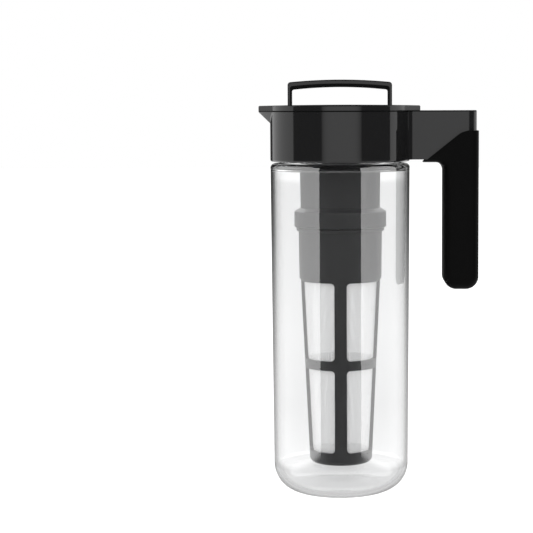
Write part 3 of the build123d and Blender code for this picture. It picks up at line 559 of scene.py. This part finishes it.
def bailBar():
    # Carries the section along the arch. A point lies on the straight line from the outer arch to the
    # inner one, its share of the way along and some mm further, at its own depth
    outerLine = archLine(bail["legOutX"], bail["topZ"], bail["outerCurve"])
    innerLine = archLine(bail["legInX"], bail["topZ"] - bail["barHeight"], bail["innerCurve"])
    section = barSection()
    inward = innerLine - outerLine
    height = np.linalg.norm(inward, axis=1, keepdims=True)
    steps = height[:, None] * section[None, :, :1] + section[None, :, 1:2]
    flatPlace = outerLine[:, None] + steps * (inward / height)[:, None]
    depth = np.broadcast_to(section[None, :, 2:], flatPlace[..., :1].shape)
    points = np.concatenate([flatPlace[..., :1], depth, flatPlace[..., 1:]], axis=-1)
    rows, columns = points.shape[:2]
    faces = gridFaces(rows, columns, False, True).tolist()
    faces += [list(range(columns)), list(range((rows - 1) * columns, rows * columns))]
    points = points.reshape(-1, 3)
    for side in (-1, 1):
        cam = camGrid(side)
        faces += gridFaces(cam.shape[0], cam.shape[1], True, True, len(points)).tolist()
        points = np.vstack([points, cam.reshape(-1, 3)])
    return faceOutward(meshObject("bailBar", points * mm, faces, materials["blackGloss"]))


bailPiece = bailBar()
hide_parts("bail")
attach(bailPiece, "bail")
print("bail ready")


# Lid seal: soft ring round the lid's drum, which the push ring flattens as the bail folds

lidSeal = {
    "outR": 32.5,
    "inR": 27.6,
    "lowZ": 228.0,
    "topZ": 236.0,
    "outerEdge": 0.8,
    "innerEdge": 0.2,
    "waist": 0.9,
    "waistTurn": 60,  # degrees, half of the waist's arc
    "waistSteps": 13,
    "seamGap": 0.25,  # from the section's first point to its last
    "turns": 192,
    "squeeze": 2.0,
}


def sealRing():
    # Section as a rounded rectangle whose outside has a waist: an arc about a point outside the ring,
    # with twice the waist's depth as its radius
    outR, inR = lidSeal["outR"], lidSeal["inR"]
    lowZ, topZ = lidSeal["lowZ"], lidSeal["topZ"]
    outerEdge, innerEdge = lidSeal["outerEdge"], lidSeal["innerEdge"]
    middle = (lowZ + topZ) / 2
    turn = np.radians(np.linspace(-lidSeal["waistTurn"], lidSeal["waistTurn"], lidSeal["waistSteps"]))
    waistR = 2 * lidSeal["waist"]
    waistAcross = outR + lidSeal["waist"] - waistR * np.cos(turn)
    waist = np.stack([waistAcross, middle + waistR * np.sin(turn)], axis=1)
    low = roundedLine([(inR, middle), (inR, lowZ, innerEdge), (outR, lowZ, outerEdge),
                       (outR, waist[0, 1])])
    high = roundedLine([(outR, waist[-1, 1]), (outR, topZ, outerEdge), (inR, topZ, innerEdge),
                        (inR, middle + lidSeal["seamGap"])])
    line = np.vstack([low, waist[1:-1], high])
    return faceOutward(revolved("lidSealRing", line, materials["silicone"], lidSeal["turns"]))


sealPiece = sealRing()
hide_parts("lid_seal")
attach(sealPiece, "lid")
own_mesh(sealPiece)
print("lid seal ready")


# Mesh sleeve: thin cone on the inner faces of the ribs

meshLow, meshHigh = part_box("mesh_sleeve")
sleeve = {
    "topR": meshHigh.x / mm,
    "lowZ": meshLow.z / mm,
    "topZ": meshHigh.z / mm,
    "slope": 0.0469,
    "turns": 192,
    "rows": 40,
}


def meshSleeve():
    # Cone whose radius is topR less slope times the depth below its top. UV is the way round and the
    # height, in mm
    turns, rows = sleeve["turns"], sleeve["rows"]
    angle = np.arange(turns + 1) * tau / turns
    up = np.linspace(sleeve["lowZ"], sleeve["topZ"], rows)[:, None]
    radius = sleeve["topR"] - sleeve["slope"] * (sleeve["topZ"] - up)
    height = np.broadcast_to(up, (rows, turns + 1))
    wayRound = np.broadcast_to(angle * sleeve["topR"], (rows, turns + 1))
    points = np.stack([radius * np.cos(angle), radius * np.sin(angle), height], axis=-1).reshape(-1, 3)
    uv = np.stack([wayRound, height], axis=-1).reshape(-1, 2)
    faces = gridFaces(rows, turns + 1, False, False).tolist()
    return meshObject("meshSleeve", points * mm, faces, materials["fineMesh"], uv)


sleevePiece = meshSleeve()
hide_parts("mesh_sleeve")
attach(sleevePiece, "basket")
print("mesh sleeve ready")


# Studio: pale floor, white world and soft panels. Lengths in metres

studio = {
    "floorSize": 12.0,
    "floorDrop": 0.0002,
    "floorColour": 0.85,
    "floorRoughness": 0.9,
    "floorSpecular": 0.1,
    "floorGlow": 0.72,
    "backdrop": 1.0,  # brightness of the empty room
    "softLight": 0.75,  # what lights a matt surface
    "mirroredFront": 0.06,  # the front of the room, as the outside of a piece mirrors it
    "frontTurn": (-0.7, -0.9),  # Y of a direction, from the sides of the room to its front
    # Four tables of (elevation in degrees, brightness). The first is what shows straight through the jug
    "seenThrough": [
        (-12.5, 0.73), (-12.25, 0.76), (-12.15, 0.97), (-11.9, 0.97), (-11.75, 0.76), (-10, 0.68),
        (-7.5, 0.76), (-4.2, 0.75), (-2.62, 0.745), (-2.54, 0.77), (-2.4, 0.96)],
    # After a bounce inside the jug's wall, away from the front
    "bouncedInWall": [
        (-89, 0.57), (-25, 0.57), (-16, 0.62), (-9, 0.54), (-7.1, 0.43), (-4.1, 0.14), (-2.5, 0.065),
        (1, 0.05), (3.5, 0.62), (18, 0.62), (26, 1.7), (89, 1.7)],
    # After a bounce inside the jug's wall, heading to the front
    "bouncedToFront": [
        (-40, 0.62), (-20, 0.5), (-16, 0.12), (-9, 0.14), (-7.1, 0.25), (-4.1, 0.14), (-2.5, 0.065),
        (1, 0.05), (3.5, 0.62), (18, 0.62), (26, 1.7), (89, 1.7)],
    # Mirrored on the outside of any piece, away from the front
    "mirroredOutside": [
        (-89, 1.1), (-15, 1.1), (-12, 0.52), (-9.7, 0.36), (-7.1, 0.2), (-4.1, 0.08), (-2.5, 0.06),
        (89, 0.06)],
    # (angle from the front in degrees, share of the strength) across the front panel and the side strips
    "frontGrades": [
        (-29.5, 0.3), (-27.2, 0.59), (-25.5, 0.72), (-23.9, 0.82), (-22.2, 0.9), (-18.8, 0.97), (-10, 1),
        (20, 1), (25.8, 0.95), (27.5, 0.86), (29.2, 0.79), (31, 0.65), (32.7, 0.56), (35, 0.24)],
    "stripGrades": [
        (34, 0.98), (45, 0.92), (60, 0.9), (80, 0.88), (92, 0.85), (105, 0.74), (115, 0.53),
        (127, 0.32), (138, 0.13), (146, 0.02), (150, 0)],
}


def makeFloor():
    # Square sheet just below the foot, which glows a little so that it stays pale all over
    half = studio["floorSize"] / 2
    points = np.array([(-half, -half, 0), (half, -half, 0), (half, half, 0), (-half, half, 0)], float)
    points[:, 2] = -studio["floorDrop"]
    material = bpy.data.materials.new("paleFloor")
    material.use_nodes = True
    tree = material.node_tree
    shader = tree.nodes["Principled BSDF"]
    shader.inputs["Base Color"].default_value = (studio["floorColour"],) * 3 + (1,)
    shader.inputs["Roughness"].default_value = studio["floorRoughness"]
    shader.inputs["Specular IOR Level"].default_value = studio["floorSpecular"]
    shader.inputs["Emission Color"].default_value = (1, 1, 1, 1)
    shader.inputs["Emission Strength"].default_value = studio["floorGlow"]
    floor = meshObject("studioFloor", points, [(0, 1, 2, 3)], material)
    floor.visible_glossy = False
    floor.visible_transmission = False


def makeWorld():
    # Brightness of the room for each kind of ray: the backdrop, what shows through the jug, what a
    # surface mirrors, and what lights it
    world = bpy.data.worlds.new("studioWorld")
    bpy.context.scene.world = world
    world.use_nodes = True
    tree = world.node_tree
    tree.nodes.clear()
    link = tree.links.new
    output = tree.nodes.new("ShaderNodeOutputWorld")
    back = tree.nodes.new("ShaderNodeBackground")
    back.inputs["Color"].default_value = (1, 1, 1, 1)
    link(back.outputs[0], output.inputs[0])
    path = tree.nodes.new("ShaderNodeLightPath")
    direction = tree.nodes.new("ShaderNodeTexCoord")
    split = tree.nodes.new("ShaderNodeSeparateXYZ")
    link(direction.outputs["Generated"], split.inputs[0])

    def byElevation(stops):
        # Brightness by height above the horizon, from (degrees, brightness) pairs
        peak = max(grey for degrees, grey in stops)
        spread = tree.nodes.new("ShaderNodeMapRange")
        low, high = (math.sin(math.radians(stops[end][0])) for end in (0, -1))
        spread.inputs["From Min"].default_value = low
        spread.inputs["From Max"].default_value = high
        link(split.outputs["Z"], spread.inputs["Value"])
        ramp = tree.nodes.new("ShaderNodeValToRGB")
        while len(ramp.color_ramp.elements) < len(stops):
            ramp.color_ramp.elements.new(0.5)
        for element, (degrees, grey) in zip(ramp.color_ramp.elements, stops):
            element.position = (math.sin(math.radians(degrees)) - low) / (high - low)
            element.color = (grey / peak, grey / peak, grey / peak, 1)
        scale = tree.nodes.new("ShaderNodeMath")
        scale.operation = "MULTIPLY"
        scale.inputs[1].default_value = peak
        link(spread.outputs["Result"], ramp.inputs["Fac"])
        link(ramp.outputs["Color"], scale.inputs[0])
        return scale.outputs[0]

    def choose(factor, no, yes):
        # Mixes from no to yes by the factor. Each of the two is a number or another node's output
        node = tree.nodes.new("ShaderNodeMix")
        link(factor, node.inputs["Factor"])
        for value, socket in ((no, node.inputs["A"]), (yes, node.inputs["B"])):
            if isinstance(value, float):
                socket.default_value = value
            else:
                link(value, socket)
        return node.outputs["Result"]

    straight = byElevation(studio["seenThrough"])
    ahead = tree.nodes.new("ShaderNodeMapRange")
    ahead.inputs["From Min"].default_value = studio["frontTurn"][0]
    ahead.inputs["From Max"].default_value = studio["frontTurn"][1]
    link(split.outputs["Y"], ahead.inputs["Value"])
    mirrored = choose(ahead.outputs["Result"], byElevation(studio["bouncedInWall"]),
                      byElevation(studio["bouncedToFront"]))
    bounced = tree.nodes.new("ShaderNodeMath")
    bounced.operation = "GREATER_THAN"
    bounced.inputs[1].default_value = 0.5  # one bounce or more
    link(path.outputs["Glossy Depth"], bounced.inputs[0])
    through = choose(bounced.outputs[0], straight, mirrored)
    outside = choose(ahead.outputs["Result"], byElevation(studio["mirroredOutside"]),
                     studio["mirroredFront"])
    soft = choose(path.outputs["Is Glossy Ray"], studio["softLight"], outside)
    notCamera = choose(path.outputs["Is Transmission Ray"], soft, through)
    strength = choose(path.outputs["Is Camera Ray"], notCamera, studio["backdrop"])
    link(strength, back.inputs["Strength"])


def endAtElevation(tree, place, strength, end):
    # Fades a panel out between two elevations in degrees, seen from the maker's foot, all along it
    aim = tree.nodes.new("ShaderNodeVectorMath")
    aim.operation = "NORMALIZE"
    rise = tree.nodes.new("ShaderNodeSeparateXYZ")
    fade = tree.nodes.new("ShaderNodeMapRange")
    fade.interpolation_type = "SMOOTHSTEP"
    fade.inputs["From Min"].default_value = math.sin(math.radians(end[0]))
    fade.inputs["From Max"].default_value = math.sin(math.radians(end[1]))
    both = tree.nodes.new("ShaderNodeMath")
    both.operation = "MULTIPLY"
    tree.links.new(place.outputs["Position"], aim.inputs[0])
    tree.links.new(aim.outputs[0], rise.inputs[0])
    tree.links.new(rise.outputs["Z"], fade.inputs["Value"])
    tree.links.new(strength, both.inputs[0])
    tree.links.new(fade.outputs["Result"], both.inputs[1])
    return both.outputs[0]


def gradeAcross(data, angles, grades, end):
    # Makes a panel's strength follow (angle, share) pairs from one upright edge to the other. A place
    # across the flat panel goes with the tangent of its angle from the panel's middle
    data.use_nodes = True
    tree = data.node_tree
    emission = tree.nodes["Emission"]
    place = tree.nodes.new("ShaderNodeNewGeometry")
    split = tree.nodes.new("ShaderNodeSeparateXYZ")
    ramp = tree.nodes.new("ShaderNodeValToRGB")
    middle = math.radians((angles[0] + angles[1]) / 2)
    half = math.radians((angles[1] - angles[0]) / 2)
    spots = []
    for angle, share in grades:
        spots.append((0.5 + math.tan(math.radians(angle) - middle) / (2 * math.tan(half)), share))
    spots.sort()
    stops = ramp.color_ramp.elements
    while len(stops) < len(spots):
        stops.new(0.5)
    for stop, (spot, share) in zip(stops, spots):
        stop.position = spot
        stop.color = (share, share, share, 1)
    tree.links.new(place.outputs["Parametric"], split.inputs[0])
    tree.links.new(split.outputs["X"], ramp.inputs["Fac"])
    strength = ramp.outputs["Color"]
    if end:
        strength = endAtElevation(tree, place, strength, end)
    tree.links.new(strength, emission.inputs["Strength"])


def makePanel(name, panel):
    # Area light that stands upright beside the maker and lights only its receivers
    fromAngle, toAngle = panel["angles"]
    low, high = panel["heights"]
    distance = panel["distance"]
    middle = math.radians((fromAngle + toAngle) / 2)
    half = math.radians((toAngle - fromAngle) / 2)
    data = bpy.data.lights.new(name, "AREA")
    data.shape = "RECTANGLE"
    data.size = 2 * distance * math.tan(half)
    data.size_y = high - low
    data.energy = panel["radiance"] * math.pi * data.size * data.size_y
    light = bpy.data.objects.new(name, data)
    place = Vector((distance * math.sin(middle), -distance * math.cos(middle), (low + high) / 2))
    light.location = place
    facing = Vector((-place.x, -place.y, 0))
    light.rotation_euler = facing.to_track_quat("-Z", "Y").to_euler()
    light.visible_camera = False
    light.visible_transmission = False
    if "grades" in panel:
        gradeAcross(data, panel["angles"], panel["grades"], panel.get("end"))
    bpy.context.scene.collection.objects.link(light)
    light.light_linking.receiver_collection = panel["receivers"]


def collectionOf(name, objects):
    group = bpy.data.collections.new(name)
    for item in objects:
        group.objects.link(item)
    return group


clearSide = collectionOf("clearSide", [jugPiece, nodes["filter_tube"], nodes["basket_frame"]])
darkNodes = ("collar", "throat_ring", "lid_cover", "grip_sleeve", "handle_core", "lid_tray", "lid_plug",
             "push_ring", "pivot_pins", "handle_screws", "neck_seal", "tube_seal", "basket_seal")
darkSide = collectionOf("darkSide", [nodes[name] for name in darkNodes] + [bailPiece, sealPiece])
meshSide = collectionOf("meshSide", [sleevePiece])

# Angles are about the maker in degrees, 0 towards the camera and 90 towards the handle
sidePanel = {"heights": (-0.5, 1.2), "distance": 1.2, "receivers": darkSide}
strip = {"heights": (-1.6, 1.6), "distance": 1.0, "radiance": 5.4, "receivers": clearSide,
         "end": (-11.4, -10.8)}
leftGrades = [(-angle, share) for angle, share in studio["stripGrades"]]
panels = {
    "frontPanel": {"angles": (-29.5, 35), "heights": (-0.6, 1.2), "distance": 1.7, "radiance": 1.0,
                   "receivers": darkSide, "grades": studio["frontGrades"]},
    "meshPanel": {"angles": (-28, 28), "heights": (-0.6, 1.2), "distance": 1.7, "radiance": 2.4,
                  "receivers": meshSide},
    "leftPanel": {**sidePanel, "angles": (-147, -81.3), "radiance": 0.95},
    "rightPanel": {**sidePanel, "angles": (89, 150), "radiance": 1.0},
    "leftStrip": {**strip, "angles": (-150, -34), "grades": leftGrades},
    "rightStrip": {**strip, "angles": (34, 150), "grades": studio["stripGrades"]},
}

makeFloor()
makeWorld()
for name, panel in panels.items():
    makePanel(name, panel)
print("studio ready")
